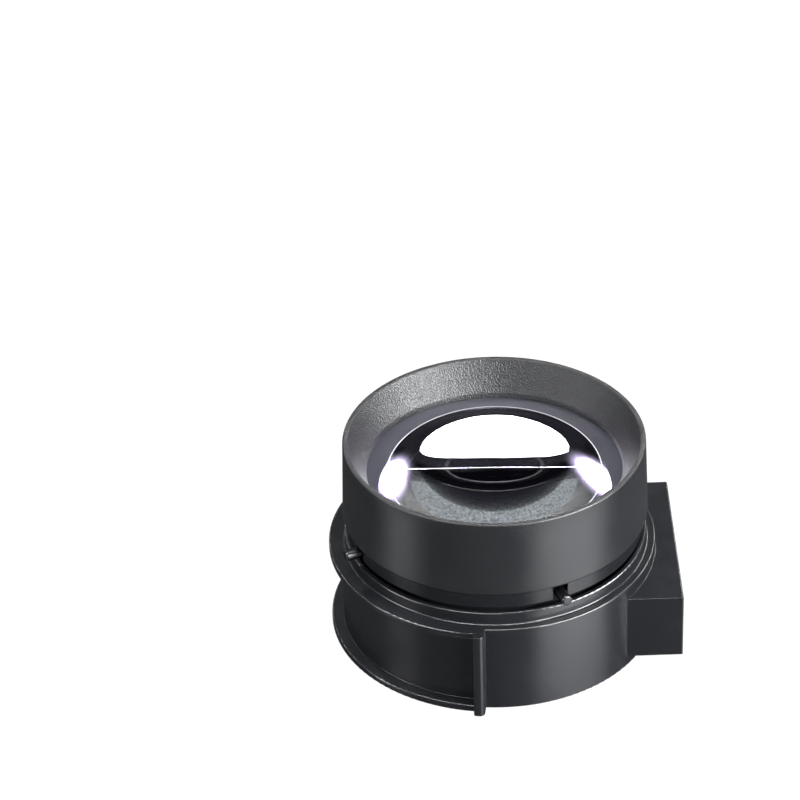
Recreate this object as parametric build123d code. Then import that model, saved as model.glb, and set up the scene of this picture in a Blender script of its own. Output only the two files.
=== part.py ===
# An optical lens module: a hood with one large eye lens, a barrel that carries the glass and four
# guide pins, and a drum-shaped housing with a collar, flanges, ribs and a block on one side.
# Millimetres. The optical axis is Z, the module stands on Z = 0, and the side block points along +X.
import os
from math import sqrt

from build123d import *

# Clearances
fit_gap = 0.05              # radial play of a piece pressed into its seat
glass_gap = 0.03            # radial play round a lens or a pin
cement_gap = 0.02           # cement layer between the two elements of the doublet

# Barrel: the radii of the whole module follow from its tube
tube_radius = 21.4
tube_wall = 3.87            # round the rear lens group
spigot_wall = 1.37          # round the eye lens
band_step = 1.3             # band stands out from the tube by this much
band_height = 2.7
band_drop = 0.7             # collar top to the band's lower edge
notch_width = 2.4
web_seat = 0.7              # radial width of the seat for the doublet
pocket_depth = 2.9          # seat of the eye lens below the spigot's top
eye_seat_width = 4.0
skirt_step = 1.2            # tube opens by this much below the rear group
skirt_height = 1.0

# Housing: collar
collar_gap = 0.95           # collar to the barrel's tube
collar_wall = 0.85
collar_height = 2.0
collar_depth = 3.2          # collar top to the step inside

# Housing: drum, shelf and base
shelf_height = 14.65        # base to the shelf round the collar
shelf_width = 1.35          # collar to the drum's wall
recess_depth = 0.75         # drum's wall to the wall between the two flanges
flange_step = 1.1           # drum's wall to the flanges' edge
upper_flange = 1.0          # thickness of the flange at the shelf
lower_flange = 1.1          # thickness of the flange at the base
edge_round = 0.2            # rounding of moulded edges

# Housing: the back of the base slopes up from a straight line across it
slope_start = 9.6           # axis to that line, along Y
slope_angle = 28.0          # degrees

# Housing: inside
chamber_wall = 1.55         # recessed wall to the chamber, which is open from below
ledge_thickness = 1.2       # of the ledge that the barrel stands on
ledge_width = 1.55          # ledge reaches in from the bore by this much

# Housing: upright ribs at the ends of the recessed wall
rib_angle = 98.0            # degrees to each side of the block
rib_width = 1.65
rib_reach = 1.0             # beyond the flanges
rib_wall_round = 0.8        # nose corner on the block's side
rib_recess_round = 0.45     # nose corner on the side of the recessed wall

# Housing: side block
block_depth = 3.2           # drum's wall to the outer face
block_half_width = 15.4
block_bottom = 1.95
block_drop = 2.0            # shelf to the block's top
block_wall = 1.4

# Guide pins
pin_count = 4
pin_angle = 23.0            # degrees from the block to the first pin
pin_radius = 0.85
pin_reach = 2.4             # beyond the band
pin_sink = 2.4              # into the tube
pin_dome = 0.3
pin_rise = 1.1              # band's lower edge to the pin's axis

# Hood
hood_overhang = 0.7         # beyond the band
hood_draft = 0.4            # narrowing from the lower edge to the rim
hood_height = 12.3
rim_width = 0.8
rim_round = 0.25
funnel_depth = 4.72
funnel_step = 0.17          # narrow end of the funnel to the lip's edge
lip_height = 0.83
lip_cover = 0.5             # lip reaches in over the lens by this much
hood_shadow_gap = 0.15      # hood's outer edge stands this far above the band
hood_seat_inset = 0.4       # band's edge to the ring that stands on it

# Eye lens
eye_front_curve = 46.0
eye_rear_curve = 120.0

# Rear lens group
vertex_gap = 0.5            # air between the eye lens and the doublet on the axis
crown_front_curve = 70.0
crown_edge = 1.2
cement_curve = 50.0
flint_centre = 1.25
clear_inset = 2.2           # edge of the rear lenses to the opening of their rings
spacer_height = 1.55
field_edge = 1.2
field_rear_curve = 45.0
ring_height = 1.8
ring_slot_width = 1.6
ring_slot_depth = 0.8

# Seal ring
seal_rise = 1.7             # ledge to the middle of the groove
seal_groove_depth = 1.1
seal_groove_width = 1.5


def sag(curve, radius):
    """Depth of a spherical surface at a given radius."""
    return curve - sqrt(curve * curve - radius * radius)


# Worked-out radii
bore_radius = tube_radius + fit_gap
eye_radius = tube_radius - spigot_wall - glass_gap
eye_clear_radius = eye_radius - eye_seat_width
rear_bore_radius = tube_radius - tube_wall
rear_glass_radius = rear_bore_radius - glass_gap
web_radius = rear_glass_radius - web_seat
rear_clear_radius = rear_glass_radius - clear_inset
skirt_radius = rear_glass_radius + skirt_step
band_radius = tube_radius + band_step
collar_inside = bore_radius + collar_gap
collar_radius = collar_inside + collar_wall
drum_radius = collar_radius + shelf_width
recess_radius = drum_radius - recess_depth
flange_radius = drum_radius + flange_step
chamber_radius = recess_radius - chamber_wall
ledge_radius = bore_radius - ledge_width
block_reach = drum_radius + block_depth
hood_base_radius = band_radius + hood_overhang
hood_seat_radius = band_radius - hood_seat_inset
rim_radius = hood_base_radius - hood_draft
lip_radius = eye_radius - lip_cover
funnel_radius = lip_radius + funnel_step
pin_root = tube_radius - pin_sink
pin_tip = band_radius + pin_reach

# Worked-out levels
collar_top = shelf_height + collar_height
block_height = shelf_height - block_drop - block_bottom
band_bottom = collar_top + band_drop
band_top = band_bottom + band_height
pin_height = band_bottom + pin_rise
hood_bottom = band_top + hood_shadow_gap
rim_top = hood_bottom + hood_height
lip_top = rim_top - funnel_depth
lens_land = lip_top - lip_height
eye_seat = lens_land - pocket_depth
eye_rear_vertex = eye_seat - sag(eye_rear_curve, eye_clear_radius)
doublet_seat = eye_rear_vertex - vertex_gap - sag(crown_front_curve, web_radius)
crown_rear = doublet_seat - crown_edge
flint_rear = crown_rear - sag(cement_curve, rear_glass_radius) - flint_centre
field_front = flint_rear - spacer_height
field_land = field_front - field_edge
ledge_height = field_land - ring_height - skirt_height
seal_height = ledge_height + seal_rise
ON_BASE = (Align.CENTER, Align.CENTER, Align.MIN)


def disc(radius, bottom, top):
    return Pos(0, 0, bottom) * Cylinder(radius, top - bottom, align=ON_BASE)


def turned(points, rounds, arc=360.0, start=0.0):
    """Solid turned about Z from a closed outline of radius and height, with rounded corners."""
    line = FilletPolyline(*points, radius=rounds, close=True)
    face = Plane.XZ * make_face(line)
    return Rot(0, 0, start) * revolve(face, Axis.Z, arc)


def radial(angle):
    """Place facing outwards at an angle round the axis, with its X along the radius."""
    return Rot(0, 0, angle)


def arc_edge(curve, radius, edge_height, upwards):
    """Half of a spherical lens surface: from the axis to its edge at a given height."""
    bulge = sag(curve, radius) * (1 if upwards else -1)
    middle = sag(curve, radius) - sag(curve, radius / 2)
    half_way = edge_height + middle * (1 if upwards else -1)
    return ThreePointArc((0, edge_height + bulge), (radius / 2, half_way), (radius, edge_height))


def lens(top, rim, bottom):
    """Lens turned from its front surface, its rim and its rear surface."""
    edges = [top] + rim + [bottom]
    closing = Line(bottom @ 0, top @ 0)
    face = Plane.XZ * make_face(Wire(edges + [closing]))
    return revolve(face, Axis.Z)


def make_housing():
    recess_arc = 360.0 - 2 * rib_angle
    step = collar_top - collar_depth
    ledge_bottom = ledge_height - ledge_thickness
    outline = [
        (chamber_radius, 0), (drum_radius, 0), (drum_radius, shelf_height), (collar_radius, shelf_height),
        (collar_radius, collar_top), (collar_inside, collar_top), (collar_inside, step), (bore_radius, step),
        (bore_radius, ledge_height), (ledge_radius, ledge_height), (ledge_radius, ledge_bottom),
        (chamber_radius, ledge_bottom),
    ]
    rounds = [0, edge_round, edge_round, edge_round, edge_round, edge_round, 0, 0, 0, 0, 0, 0]
    body = turned(outline, rounds)

    # The wall between the ribs is set back, and the flanges stand out from it
    flange_bottom = shelf_height - upper_flange
    outside = flange_radius + edge_round
    inner = recess_radius - edge_round
    cut = [(recess_radius, 0), (outside, 0), (outside, flange_bottom), (recess_radius, flange_bottom)]
    body -= turned(cut, [0, 0, 0, 0], recess_arc, rib_angle)
    for low, high in ((flange_bottom, shelf_height), (0, lower_flange)):
        flange = [(inner, low), (flange_radius, low), (flange_radius, high), (inner, high)]
        body += turned(flange, [0, edge_round, edge_round, 0], recess_arc, rib_angle)
    body += radial(rib_angle) * rib(-1)
    body += radial(-rib_angle) * rib(1)

    # The back of the base is cut off along a slope
    reach = 2 * flange_radius
    slope = Box(2 * reach, reach, reach, align=(Align.CENTER, Align.MIN, Align.MAX))
    body -= Pos(0, slope_start, 0) * Rot(slope_angle, 0, 0) * slope
    return body + block()


def rib(wall_side):
    """Upright rib with a rounded nose, from the recessed wall out past the flanges."""
    half = wall_side * rib_width / 2
    root = recess_radius - edge_round
    tip = flange_radius + rib_reach
    corners = [(root, half), (tip, half), (tip, -half), (root, -half)]
    line = FilletPolyline(*corners, radius=[0, rib_wall_round, rib_recess_round, 0], close=True)
    return extrude(make_face(line), shelf_height, dir=(0, 0, 1))


def block():
    """Flat block on the drum's side, cored from below behind its outer walls."""
    outside = (block_reach, 2 * block_half_width)
    solid = Pos(block_reach / 2, 0, block_bottom) * Box(*outside, block_height, align=ON_BASE)
    outer_edges = [e for e in solid.edges() if e.center().X > block_reach / 2 and e.center().Z > block_bottom]
    solid = fillet(outer_edges, edge_round)
    inside = (block_reach - block_wall, 2 * (block_half_width - block_wall))
    core = Pos(inside[0] / 2, 0, block_bottom) * Box(*inside, block_height - block_wall, align=ON_BASE)
    core -= disc(drum_radius, 0, shelf_height)
    return solid - core - disc(drum_radius - edge_round, 0, shelf_height)


def make_barrel():
    skirt_top = ledge_height + skirt_height
    outline = [
        (rear_bore_radius, skirt_top), (skirt_radius, skirt_top), (skirt_radius, ledge_height),
        (tube_radius, ledge_height), (tube_radius, band_bottom),
        (band_radius, band_bottom), (band_radius, band_top), (tube_radius, band_top),
        (tube_radius, lens_land), (eye_radius + glass_gap, lens_land), (eye_radius + glass_gap, eye_seat),
        (eye_clear_radius, eye_seat), (web_radius, doublet_seat), (rear_bore_radius, doublet_seat),
    ]
    rounds = [0, 0, 0, edge_round, 0, edge_round, edge_round, 0, 0, 0, 0, 0, 0, 0]
    body = turned(outline, rounds)
    groove = disc(bore_radius, seal_height - seal_groove_width / 2, seal_height + seal_groove_width / 2)
    groove -= disc(tube_radius - seal_groove_depth, 0, rim_top)
    body -= groove
    for index in range(pin_count):
        place = radial(pin_angle + index * 360.0 / pin_count)
        notch = Pos(band_radius, 0, band_bottom) * Box(2 * band_step, notch_width, band_height, align=ON_BASE)
        hole = Pos(pin_root, 0, pin_height) * Rot(0, 90, 0) * Cylinder(
            pin_radius + glass_gap, pin_tip - pin_root, align=ON_BASE)
        body -= place * notch
        body -= place * hole
    return body


def make_pins():
    pins = []
    for index in range(pin_count):
        shaft = Rot(0, 90, 0) * Cylinder(pin_radius, pin_tip - pin_root, align=ON_BASE)
        tip = shaft.edges().filter_by(GeomType.CIRCLE).sort_by(Axis.X)[-1]
        shaft = fillet(tip, pin_dome)
        pins.append(radial(pin_angle + index * 360.0 / pin_count) * Pos(pin_root, 0, pin_height) * shaft)
    return Compound(children=pins)


def make_hood():
    spigot = tube_radius + fit_gap
    outline = [
        (spigot, band_top), (hood_seat_radius, band_top), (hood_seat_radius, hood_bottom),
        (hood_base_radius, hood_bottom), (rim_radius, rim_top), (rim_radius - rim_width, rim_top),
        (funnel_radius, lip_top), (lip_radius, lens_land), (spigot, lens_land),
    ]
    rounds = [0, 0, 0, rim_round, rim_round, rim_round, 0, 0, 0]
    return turned(outline, rounds)


def make_eye_lens():
    top = arc_edge(eye_front_curve, lip_radius, lens_land, True)
    bottom = arc_edge(eye_rear_curve, eye_clear_radius, eye_seat, False)
    rim = [Line((lip_radius, lens_land), (eye_radius, lens_land)),
           Line((eye_radius, lens_land), (eye_radius, eye_seat)),
           Line((eye_radius, eye_seat), (eye_clear_radius, eye_seat))]
    return lens(top, rim, bottom)


def make_crown():
    top = arc_edge(crown_front_curve, web_radius, doublet_seat, True)
    bottom = arc_edge(cement_curve, rear_glass_radius, crown_rear, False)
    rim = [Line((web_radius, doublet_seat), (rear_glass_radius, doublet_seat)),
           Line((rear_glass_radius, doublet_seat), (rear_glass_radius, crown_rear))]
    return lens(top, rim, bottom)


def make_flint():
    top = arc_edge(cement_curve, rear_glass_radius, crown_rear - cement_gap, False)
    edges = [Line((rear_glass_radius, crown_rear - cement_gap), (rear_glass_radius, flint_rear))]
    bottom = Line((0, flint_rear), (rear_glass_radius, flint_rear))
    return lens(top, edges, bottom)


def make_field_lens():
    top = Line((0, field_front), (rear_glass_radius, field_front))
    bottom = arc_edge(field_rear_curve, rear_clear_radius, field_land, False)
    rim = [Line((rear_glass_radius, field_front), (rear_glass_radius, field_land)),
           Line((rear_glass_radius, field_land), (rear_clear_radius, field_land))]
    return lens(top, rim, bottom)


def make_spacer():
    return disc(rear_glass_radius, field_front, flint_rear) - disc(rear_clear_radius, field_front, flint_rear)


def make_retaining_ring():
    bottom = field_land - ring_height
    ring = disc(rear_glass_radius, bottom, field_land) - disc(rear_clear_radius, bottom, field_land)
    slot = Pos(0, 0, bottom) * Box(2 * rear_bore_radius, ring_slot_width, ring_slot_depth, align=ON_BASE)
    return ring - slot


def make_seal():
    section = (seal_groove_depth + fit_gap) / 2 - cement_gap
    centre = bore_radius - section - cement_gap
    return Pos(0, 0, seal_height) * Torus(centre, section)


parts = {
    "housing": make_housing,
    "lens_barrel": make_barrel,
    "guide_pins": make_pins,
    "hood": make_hood,
    "eye_lens": make_eye_lens,
    "crown_lens": make_crown,
    "flint_lens": make_flint,
    "rear_spacer": make_spacer,
    "field_lens": make_field_lens,
    "retaining_ring": make_retaining_ring,
    "seal_ring": make_seal,
}

os.makedirs("parts", exist_ok=True)
for name, make in parts.items():
    export_step(make(), f"parts/{name}.step")
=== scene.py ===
from math import atan2, cos, pi, radians, sin, sqrt

import bmesh
import bpy
from mathutils import Matrix, Vector


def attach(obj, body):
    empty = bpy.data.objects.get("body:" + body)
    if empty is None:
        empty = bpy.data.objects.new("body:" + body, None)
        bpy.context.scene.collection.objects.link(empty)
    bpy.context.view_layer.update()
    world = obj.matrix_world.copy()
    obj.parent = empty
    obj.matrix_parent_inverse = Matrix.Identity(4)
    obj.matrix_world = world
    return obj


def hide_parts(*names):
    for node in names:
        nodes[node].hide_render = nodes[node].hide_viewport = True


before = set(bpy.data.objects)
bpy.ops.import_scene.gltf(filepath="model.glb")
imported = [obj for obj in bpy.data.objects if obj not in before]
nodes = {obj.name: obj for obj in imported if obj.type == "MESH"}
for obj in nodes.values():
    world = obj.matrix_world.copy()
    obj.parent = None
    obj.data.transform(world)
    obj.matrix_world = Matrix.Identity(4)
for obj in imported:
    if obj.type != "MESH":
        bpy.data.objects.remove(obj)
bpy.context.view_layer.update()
mm = 0.001  # sizes of pieces are in millimetres, on the same axes as the solids

scene = bpy.context.scene
scene.view_settings.view_transform = "Standard"
scene.cycles.max_bounces = 24
scene.cycles.transmission_bounces = 20
scene.cycles.glossy_bounces = 12

noiseSpan = (0.3, 0.7)  # a noise texture mostly stays between these
roundingSamples = 6
mergeDistance, creaseAngle = 0.0000005, radians(25)


# Feeds an input from a link or with a plain value
def feed(tree, value, socket):
    if isinstance(value, bpy.types.NodeSocket):
        tree.links.new(value, socket)
    else:
        socket.default_value = value


def mathNode(tree, operation, *values):
    node = tree.nodes.new("ShaderNodeMath")
    node.operation = operation
    for value, socket in zip(values, node.inputs):
        feed(tree, value, socket)
    return node.outputs["Value"]


# Maps a value from one span to another and holds it inside
def rangeNode(tree, value, source, target):
    node = tree.nodes.new("ShaderNodeMapRange")
    names = ("Value", "From Min", "From Max", "To Min", "To Max")
    for name, item in zip(names, (value, *source, *target)):
        feed(tree, item, node.inputs[name])
    return node.outputs["Result"]


# Shared effect: moulded or eroded grain that lifts the surface and varies its gloss
def makeGrainGroup():
    group = bpy.data.node_groups.new("mouldGrain", "ShaderNodeTree")
    ports = (("Scale", 4000.0), ("Detail", 2.0), ("Patch Scale", 120.0), ("Gloss Min", 0.2), ("Gloss Max", 0.3))
    for name, value in ports:
        socket = group.interface.new_socket(name=name, in_out="INPUT", socket_type="NodeSocketFloat")
        socket.default_value = value
    for name in ("Height", "Gloss"):
        group.interface.new_socket(name=name, in_out="OUTPUT", socket_type="NodeSocketFloat")
    make, link = group.nodes.new, group.links.new
    start, end = make("NodeGroupInput"), make("NodeGroupOutput")
    coords, bumps, patches = make("ShaderNodeTexCoord"), make("ShaderNodeTexNoise"), make("ShaderNodeTexNoise")
    link(coords.outputs["Object"], bumps.inputs["Vector"])
    link(start.outputs["Scale"], bumps.inputs["Scale"])
    link(start.outputs["Detail"], bumps.inputs["Detail"])
    link(bumps.outputs["Fac"], end.inputs["Height"])
    patches.inputs["Detail"].default_value = 3
    link(coords.outputs["Object"], patches.inputs["Vector"])
    link(start.outputs["Patch Scale"], patches.inputs["Scale"])
    glossSpan = (start.outputs["Gloss Min"], start.outputs["Gloss Max"])
    link(rangeNode(group, patches.outputs["Fac"], noiseSpan, glossSpan), end.inputs["Gloss"])
    return group


grainGroup = makeGrainGroup()


def newMaterial(name):
    material = bpy.data.materials.new(name)
    material.use_nodes = True
    return material, material.node_tree, material.node_tree.nodes["Principled BSDF"]


# Grain strength that changes at a distance from the optical axis
def strengthAcross(tree, look):
    coords, across = tree.nodes.new("ShaderNodeTexCoord"), tree.nodes.new("ShaderNodeVectorMath")
    reach = tree.nodes.new("ShaderNodeVectorMath")
    across.operation, reach.operation = "MULTIPLY", "LENGTH"
    across.inputs[1].default_value = (1, 1, 0)
    tree.links.new(coords.outputs["Object"], across.inputs[0])
    tree.links.new(across.outputs["Vector"], reach.inputs[0])
    edge = (look["insideRadius"] * mm, (look["insideRadius"] + look["insideFade"]) * mm)
    return rangeNode(tree, reach.outputs["Value"], edge, (look["insideStrength"], look["grainStrength"]))


def plastic(name, look):
    material, tree, shader = newMaterial(name)
    shader.inputs["Base Color"].default_value = (*look["color"], 1)
    shader.inputs["IOR"].default_value = look["ior"]
    grain = tree.nodes.new("ShaderNodeGroup")
    grain.node_tree = grainGroup
    grain.inputs["Scale"].default_value = look["grainScale"]
    grain.inputs["Detail"].default_value = look["grainDetail"]
    grain.inputs["Patch Scale"].default_value = look["patchScale"]
    grain.inputs["Gloss Min"].default_value = look["roughness"][0]
    grain.inputs["Gloss Max"].default_value = look["roughness"][1]
    bump, rounded = tree.nodes.new("ShaderNodeBump"), tree.nodes.new("ShaderNodeBevel")
    bump.inputs["Distance"].default_value = look["grainDepth"]
    strength = strengthAcross(tree, look) if "insideRadius" in look else look["grainStrength"]
    feed(tree, strength, bump.inputs["Strength"])
    rounded.samples = roundingSamples
    rounded.inputs["Radius"].default_value = look["rounding"]
    tree.links.new(rounded.outputs["Normal"], bump.inputs["Normal"])
    tree.links.new(grain.outputs["Height"], bump.inputs["Height"])
    tree.links.new(bump.outputs["Normal"], shader.inputs["Normal"])
    tree.links.new(grain.outputs["Gloss"], shader.inputs["Roughness"])
    return material


def dress(node, material):
    data = nodes[node].data
    data.materials.clear()
    data.materials.append(material)


# Grain depth and edge rounding are in metres; the hood's funnel and rim have the coarser grain
housingLook = {"color": (0.0052, 0.0056, 0.0066), "ior": 1.65, "roughness": (0.2, 0.27), "patchScale": 150,
               "grainScale": 9000, "grainDetail": 2, "grainStrength": 0.05, "grainDepth": 0.00002,
               "rounding": 0.00015}
hoodLook = {"color": (0.0055, 0.0058, 0.0066), "ior": 1.5, "roughness": (0.32, 0.38), "patchScale": 150,
            "grainScale": 4200, "grainDetail": 2, "grainStrength": 0.02, "grainDepth": 0.00016,
            "insideRadius": 22.8, "insideFade": 0.3, "insideStrength": 1.0, "rounding": 0.00012}
barrelLook = {"color": (0.0045, 0.0048, 0.0056), "ior": 1.5, "roughness": (0.18, 0.26), "patchScale": 150,
              "grainScale": 9000, "grainDetail": 2, "grainStrength": 0.05, "grainDepth": 0.00002,
              "rounding": 0.00012}
innerLook = {"color": (0.004, 0.004, 0.0045), "ior": 1.35, "roughness": (0.5, 0.6), "patchScale": 150,
             "grainScale": 6000, "grainDetail": 2, "grainStrength": 0.2, "grainDepth": 0.00003,
             "rounding": 0.0001}

dress("housing", plastic("housingPlastic", housingLook))
dress("hood", plastic("hoodPlastic", hoodLook))
dress("lens_barrel", plastic("barrelPlastic", barrelLook))
innerBlack = plastic("innerBlack", innerLook)
for node in ("rear_spacer", "retaining_ring", "seal_ring"):
    dress(node, innerBlack)

pinLook = {"color": (0.07, 0.07, 0.075), "roughness": 0.3}
pinSteel, pinTree, pinShader = newMaterial("pinSteel")
pinShader.inputs["Base Color"].default_value = (*pinLook["color"], 1)
pinShader.inputs["Metallic"].default_value = 1.0
pinShader.inputs["Roughness"].default_value = pinLook["roughness"]
dress("guide_pins", pinSteel)
print("plastics and pins ready")


# Points from the axis out along a spherical surface that reaches the given radius at the given height
def arcPoints(curve, radius, height, upwards, steps):
    side = 1 if upwards else -1
    drop = sqrt(curve * curve - radius * radius)
    turn = atan2(radius, drop)
    return [(curve * sin(turn * i / steps), height + side * (curve * cos(turn * i / steps) - drop))
            for i in range(steps + 1)]


# Closed solid turned about the optical axis from an outline of radius and height
def turned(name, outline, segments):
    mesh = bmesh.new()
    row = [mesh.verts.new((x * mm, 0, z * mm)) for x, z in outline]
    for first, second in zip(row, row[1:]):
        mesh.edges.new((first, second))
    bmesh.ops.spin(mesh, geom=mesh.verts[:] + mesh.edges[:], cent=(0, 0, 0), axis=(0, 0, 1), angle=2 * pi,
                   steps=segments, use_merge=True)
    bmesh.ops.remove_doubles(mesh, verts=mesh.verts[:], dist=mergeDistance)
    bmesh.ops.recalc_face_normals(mesh, faces=mesh.faces[:])
    for face in mesh.faces:
        face.smooth = True
    for edge in mesh.edges:
        edge.smooth = edge.calc_face_angle(0) < creaseAngle
    data = bpy.data.meshes.new(name)
    mesh.to_mesh(data)
    mesh.free()
    piece = bpy.data.objects.new(name, data)
    scene.collection.objects.link(piece)
    return piece


def glass(name, look):
    material, tree, shader = newMaterial(name)
    shader.inputs["Base Color"].default_value = (*look["color"], 1)
    shader.inputs["Roughness"].default_value = 0.0
    shader.inputs["IOR"].default_value = look["ior"]
    shader.inputs["Transmission Weight"].default_value = 1.0
    shader.inputs["Specular Tint"].default_value = (*look["coating"], 1)
    return material


# Eye lens with its painted edge and, where the paint ends on the rear face, a thin ground bevel; both also glow with
# painted light: the edge ink a dim painted glow, the bevel a painted highlight
eyeLens = {"edge": 20.0, "clear": 19.5, "land": 26.95, "seat": 24.09, "seatClear": 15.5, "front": 46.0,
           "rear": 80.0, "segments": 256, "steps": 40, "slack": 0.01, "paintInset": 0.2}
eyeGlassLook = {"color": (1, 1, 1), "ior": 1.52, "coating": (0.42, 0.34, 0.6)}
# The edge's dark ink also glows a little: painted light in place of light that reaches it through the glass
edgeInkAndGlowLook = {"color": (0.085, 0.085, 0.11), "roughness": 0.5, "glow": 0.35}
# The ground bevel glows almost white: a painted highlight for the thin bright arc of light on the edge
bevelHighlightLook = {"color": (0.9, 0.9, 0.95), "roughness": 0.6, "glow": 0.9, "width": 0.16}
bevelRadius = eyeLens["seatClear"] + bevelHighlightLook["width"]
outline = arcPoints(eyeLens["front"], eyeLens["clear"], eyeLens["land"], True, eyeLens["steps"])
outline += [(eyeLens["edge"], eyeLens["land"]), (eyeLens["edge"], eyeLens["seat"]), (bevelRadius, eyeLens["seat"])]
outline += arcPoints(eyeLens["rear"], eyeLens["seatClear"], eyeLens["seat"], False, eyeLens["steps"])[::-1]
eyePiece = turned("eyeLensGlass", outline, eyeLens["segments"])
eyePiece.data.materials.append(glass("eyeGlass", eyeGlassLook))
for name, look in (("eyeLensEdgePaintedGlow", edgeInkAndGlowLook), ("eyeLensBevelPaintedHighlight", bevelHighlightLook)):
    material, tree, shader = newMaterial(name)
    shader.inputs["Base Color"].default_value = (*look["color"], 1)
    shader.inputs["Roughness"].default_value = look["roughness"]
    # Emission here is painted light: a dim painted glow on the edge, a painted highlight on the bevel
    shader.inputs["Emission Color"].default_value = (*look["color"], 1)
    shader.inputs["Emission Strength"].default_value = look["glow"]
    eyePiece.data.materials.append(material)
edgeSlot, bevelSlot = 1, 2
for face in eyePiece.data.polygons:
    reach, height = face.center.xy.length / mm, face.center.z / mm
    if height < eyeLens["seat"] + eyeLens["slack"] and reach > eyeLens["seatClear"]:
        face.material_index = bevelSlot if reach < bevelRadius else edgeSlot
    elif reach > eyeLens["edge"] - eyeLens["paintInset"]:
        face.material_index = edgeSlot
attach(eyePiece, "root")
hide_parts("eye_lens")

# Crown and flint are cemented, so they are one body of glass
rearGlassLook = {"color": (1, 1, 1), "ior": 1.52, "coating": (0.12, 0.08, 0.2)}
rearGlass = glass("rearGlass", rearGlassLook)
doublet = {"edge": 17.5, "clear": 16.8, "seat": 20.4327, "front": 70.0, "back": 14.8201, "segments": 192,
           "steps": 30}
outline = arcPoints(doublet["front"], doublet["clear"], doublet["seat"], True, doublet["steps"])
outline += [(doublet["edge"], doublet["seat"]), (doublet["edge"], doublet["back"]), (0, doublet["back"])]
doubletPiece = turned("doubletGlass", outline, doublet["segments"])
doubletPiece.data.materials.append(rearGlass)
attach(doubletPiece, "root")
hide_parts("crown_lens", "flint_lens")
dress("field_lens", rearGlass)
print("glass ready")

# Camera at the photo's viewing angle
cameraLook = {"distance": 0.52, "elevation": 33.248, "roll": -1.927, "right": 0.01401, "up": -0.0061969,
              "targetHeight": 0.0325, "lens": 154.57}
pitch, roll = radians(cameraLook["elevation"]), radians(cameraLook["roll"])
forward = Vector((0, cos(pitch), -sin(pitch)))
right = Vector((1, 0, 0))
up = right.cross(forward)
eye = Vector((0, 0, cameraLook["targetHeight"])) - forward * cameraLook["distance"] \
    - right * cameraLook["right"] - up * cameraLook["up"]
side = right * cos(roll) + up * sin(roll)
top = up * cos(roll) - right * sin(roll)
camera = bpy.data.cameras.new("camera")
camera.lens = cameraLook["lens"]
camera.sensor_width = 36
camera.clip_start = 0.01
cameraObject = bpy.data.objects.new("camera", camera)
scene.collection.objects.link(cameraObject)
cameraObject.matrix_world = Matrix((
    (side.x, top.x, -forward.x, eye.x), (side.y, top.y, -forward.y, eye.y),
    (side.z, top.z, -forward.z, eye.z), (0, 0, 0, 1)))
scene.camera = cameraObject


# Direction from the module, with the azimuth measured from +X towards +Y
def direction(azimuth, elevation):
    a, e = radians(azimuth), radians(elevation)
    return Vector((cos(a) * cos(e), sin(a) * cos(e), sin(e)))


lampAim, cardAim = Vector((0, 0, 0.02)), Vector((0, 0, 0.031))
throughEyeLens = 2.5  # glass surfaces passed: into the eye lens and out of it, but not into the next one


# A straight lamp only lights what faces it: it shows in no reflection of the floor and not through the glass
def areaLight(name, look):
    light = bpy.data.lights.new(name, "AREA")
    light.shape = "RECTANGLE"
    light.size, light.size_y = look["size"]
    light.energy = look["strength"] * pi * look["size"][0] * look["size"][1]
    light.color = look.get("color", (1, 1, 1))
    light.use_nodes = True
    tree = light.node_tree
    rays = tree.nodes.new("ShaderNodeLightPath").outputs
    straight = "straight" in look
    level = mathNode(tree, "LESS_THAN", rays["Transmission Depth"], 0.5 if straight else throughEyeLens)
    if straight:
        level = mathNode(tree, "MULTIPLY", level, mathNode(tree, "LESS_THAN", rays["Glossy Depth"], 0.5))
    tree.links.new(level, tree.nodes["Emission"].inputs["Strength"])
    holder = bpy.data.objects.new(name, light)
    scene.collection.objects.link(holder)
    way = direction(look["azimuth"], look["elevation"])
    holder.location = lampAim + way * look["distance"]
    holder.rotation_euler = way.to_track_quat("Z", "Y").to_euler()


lampLooks = {
    "lampTop": {"azimuth": -90, "elevation": 80, "distance": 0.6, "size": (0.5, 0.08), "strength": 42.0},
    "lampRight": {"azimuth": -38, "elevation": 22, "distance": 0.5, "size": (0.45, 0.2), "strength": 29.0,
                  "color": (0.96, 0.97, 1.0)},
    "lampLeft": {"azimuth": -162, "elevation": 20, "distance": 0.5, "size": (0.2, 0.12), "strength": 20.0,
                 "color": (0.96, 0.97, 1.0)},
    "lampFunnelRight": {"azimuth": -29, "elevation": 18, "distance": 0.5, "size": (0.14, 0.12), "strength": 130.0,
                        "straight": True},
    "lampFunnelLeft": {"azimuth": -152, "elevation": 18, "distance": 0.5, "size": (0.14, 0.12), "strength": 45.0,
                       "straight": True},
    "lampBackLeft": {"azimuth": 122, "elevation": 33, "distance": 0.5, "size": (0.05, 0.08), "strength": 180.0,
                     "straight": True},
    "lampBackRight": {"azimuth": 54, "elevation": 33, "distance": 0.5, "size": (0.05, 0.08), "strength": 180.0,
                      "straight": True},
}
for name, look in lampLooks.items():
    areaLight(name, look)


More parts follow.
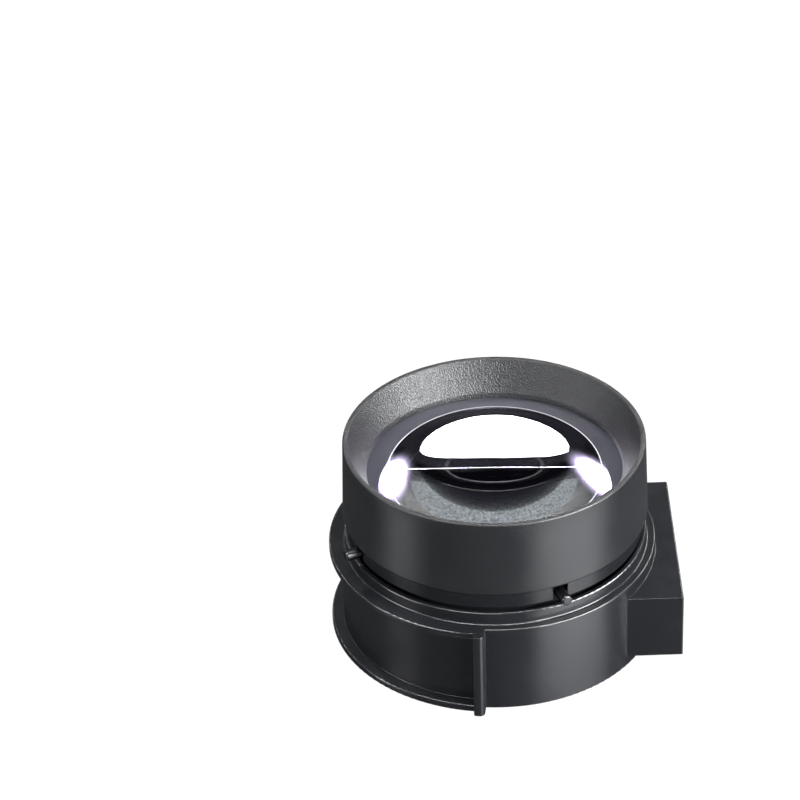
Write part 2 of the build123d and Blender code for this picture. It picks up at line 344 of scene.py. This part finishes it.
# A disc, an upper part of a thin ring, or a disc with one side flattened and the other drawn out
def cardMesh(name, look):
    mesh = bmesh.new()
    distance = look["distance"]
    bmesh.ops.create_circle(mesh, cap_ends="inner" not in look, segments=128, radius=distance * look["radius"])
    if "inner" in look:
        grown = bmesh.ops.extrude_edge_only(mesh, edges=mesh.edges[:])["geom"]
        shrink = look["inner"] / look["radius"]
        bmesh.ops.scale(mesh, vec=(shrink, shrink, 1), verts=[v for v in grown if isinstance(v, bmesh.types.BMVert)])
        low = [f for f in mesh.faces if f.calc_center_median().y < look["cut"] * distance]
        bmesh.ops.delete(mesh, geom=low, context="FACES")
        bmesh.ops.translate(mesh, vec=(0, look["shift"] * distance, 0), verts=mesh.verts[:])
    if "upper" in look:
        for vert in mesh.verts:
            turn = atan2(vert.co.y, vert.co.x)
            if turn < 0:
                power, height = 2 / look["taper"], -look["upper"]
            else:
                power, height = 1, look["lower"]
            vert.co.x *= abs(cos(turn)) ** (power - 1)
            vert.co.y = (look["middle"] + height * abs(sin(turn)) ** power) * distance
    data = bpy.data.meshes.new(name)
    mesh.to_mesh(data)
    mesh.free()
    return data


# Light for rays that come straight from a polished surface and have passed no glass
def cardMaterial(name, look):
    material = bpy.data.materials.new(name)
    material.use_nodes = True
    tree = material.node_tree
    tree.nodes.clear()
    make, link = tree.nodes.new, tree.links.new
    rays, out = make("ShaderNodeLightPath").outputs, make("ShaderNodeOutputMaterial")
    glow, clear, both = make("ShaderNodeEmission"), make("ShaderNodeBsdfTransparent"), make("ShaderNodeAddShader")
    glow.inputs["Color"].default_value = (*look["color"], 1)
    direct = mathNode(tree, "SUBTRACT", rays["Is Singular Ray"], rays["Transmission Depth"])
    direct.node.use_clamp = True
    level = mathNode(tree, "MULTIPLY", direct, look["strength"])
    if "soft" in look:
        coords, place, fade = make("ShaderNodeTexCoord"), make("ShaderNodeMapping"), make("ShaderNodeTexGradient")
        reach = 1 / (look["distance"] * look["radius"])
        place.inputs["Scale"].default_value = (reach, reach, 1)
        fade.gradient_type = "SPHERICAL"
        link(coords.outputs["Object"], place.inputs["Vector"])
        link(place.outputs["Vector"], fade.inputs["Vector"])
        level = mathNode(tree, "MULTIPLY", mathNode(tree, "POWER", fade.outputs["Fac"], look["soft"]), level)
    link(level, glow.inputs["Strength"])
    link(clear.outputs["BSDF"], both.inputs[0])
    link(glow.outputs["Emission"], both.inputs[1])
    link(both.outputs["Shader"], out.inputs["Surface"])
    material.cycles.emission_sampling = "NONE"
    return material


def mirrorCard(name, look):
    card = bpy.data.objects.new(name, cardMesh(name, look))
    scene.collection.objects.link(card)
    card.data.materials.append(cardMaterial(name, look))
    way = direction(look["azimuth"], look["elevation"])
    lean = Matrix.Rotation(radians(look.get("lean", 0)), 3, "Z").to_quaternion()
    card.location = cardAim + way * look["distance"]
    card.rotation_euler = (way.to_track_quat("Z", "Y") @ lean).to_euler()
    card.scale = (look.get("narrow", 1), 1, 1)
    card.visible_camera = False
    card.visible_diffuse = False
    card.visible_shadow = False


# Lamps that only the polished front of the glass mirrors: a round one with a flattened side, a thin arc of light
# under it and two soft ones beside it. Sizes on the card are shares of its distance.
cardLooks = {
    "roundLamp": {"azimuth": 88, "elevation": 27, "distance": 0.55, "radius": 0.315, "middle": 0.05,
                  "upper": 0.373, "lower": 0.236, "taper": 1.55, "strength": 90, "color": (1, 1, 1)},
    "lampArc": {"azimuth": 88, "elevation": 27, "distance": 0.56, "radius": 0.526, "inner": 0.517,
                "shift": -0.12, "cut": 0.3, "strength": 70, "color": (1, 1, 1)},
    "sideLampLeft": {"azimuth": 122, "elevation": 34, "distance": 0.5, "radius": 0.38, "narrow": 0.36,
                     "lean": -37, "soft": 6, "strength": 2000, "color": (0.88, 0.82, 1)},
    "sideLampRight": {"azimuth": 54, "elevation": 34, "distance": 0.5, "radius": 0.32, "narrow": 0.55,
                      "lean": 56, "soft": 6, "strength": 2000, "color": (0.88, 0.82, 1)},
}
for name, look in cardLooks.items():
    mirrorCard(name, look)

# World: white to the camera, dim to the object, and for rays that left the eye lens a cool mottled glow high up,
# which starts lower to the sides
worldLook = {"color": (0.86, 0.93, 1.0), "grain": 45.0, "mottle": (0.55, 1.45), "strength": 0.08,
             "throughLens": 0.34, "rise": (0.58, 0.68), "wide": 0.35, "leftLens": 1.5}
world = bpy.data.worlds.new("studio")
scene.world = world
world.use_nodes = True
tree = world.node_tree
background = tree.nodes["Background"]
rays = tree.nodes.new("ShaderNodeLightPath").outputs
coords, parts = tree.nodes.new("ShaderNodeTexCoord"), tree.nodes.new("ShaderNodeSeparateXYZ")
specks, tone = tree.nodes.new("ShaderNodeTexNoise"), tree.nodes.new("ShaderNodeMix")
specks.inputs["Scale"].default_value = worldLook["grain"]
specks.inputs["Detail"].default_value = 2.0
tone.data_type = "RGBA"
tone.inputs["A"].default_value = (*worldLook["color"], 1)
tone.inputs["B"].default_value = (1, 1, 1, 1)
tree.links.new(coords.outputs["Generated"], parts.inputs["Vector"])
tree.links.new(coords.outputs["Generated"], specks.inputs["Vector"])
tree.links.new(rays["Is Camera Ray"], tone.inputs["Factor"])
tree.links.new(tone.outputs["Result"], background.inputs["Color"])
aside = mathNode(tree, "ABSOLUTE", parts.outputs["X"])
rise = mathNode(tree, "MULTIPLY_ADD", aside, worldLook["wide"], parts.outputs["Z"])
high = rangeNode(tree, rise, worldLook["rise"], (0.0, worldLook["throughLens"]))
mottled = mathNode(tree, "MULTIPLY", rangeNode(tree, specks.outputs["Fac"], noiseSpan, worldLook["mottle"]), high)
leftLens = mathNode(tree, "GREATER_THAN", rays["Transmission Depth"], worldLook["leftLens"])
shallow = mathNode(tree, "LESS_THAN", rays["Transmission Depth"], throughEyeLens)
level = rangeNode(tree, leftLens, (0.0, 1.0), (worldLook["strength"], mottled))
seen = mathNode(tree, "MAXIMUM", mathNode(tree, "MULTIPLY", level, shallow), rays["Is Camera Ray"])
tree.links.new(seen, background.inputs["Strength"])

floorLook = {"color": (0.03, 0.03, 0.03), "roughness": 0.12, "ior": 1.9, "seenWhite": 0.97, "halfSize": 3.0}
floorMesh = bmesh.new()
bmesh.ops.create_grid(floorMesh, x_segments=1, y_segments=1, size=floorLook["halfSize"])
floorData = bpy.data.meshes.new("floor")
floorMesh.to_mesh(floorData)
floorMesh.free()
floor = bpy.data.objects.new("floor", floorData)
scene.collection.objects.link(floor)
floorMaterial, tree, shader = newMaterial("floorWhite")
shader.inputs["Base Color"].default_value = (*floorLook["color"], 1)
shader.inputs["Roughness"].default_value = floorLook["roughness"]
shader.inputs["IOR"].default_value = floorLook["ior"]
rays = tree.nodes.new("ShaderNodeLightPath").outputs
glow, both = tree.nodes.new("ShaderNodeEmission"), tree.nodes.new("ShaderNodeAddShader")
white = mathNode(tree, "MULTIPLY", rays["Is Camera Ray"], floorLook["seenWhite"])
tree.links.new(white, glow.inputs["Strength"])
tree.links.new(shader.outputs["BSDF"], both.inputs[0])
tree.links.new(glow.outputs["Emission"], both.inputs[1])
tree.links.new(both.outputs["Shader"], tree.nodes["Material Output"].inputs["Surface"])
floorData.materials.append(floorMaterial)
print("studio ready")
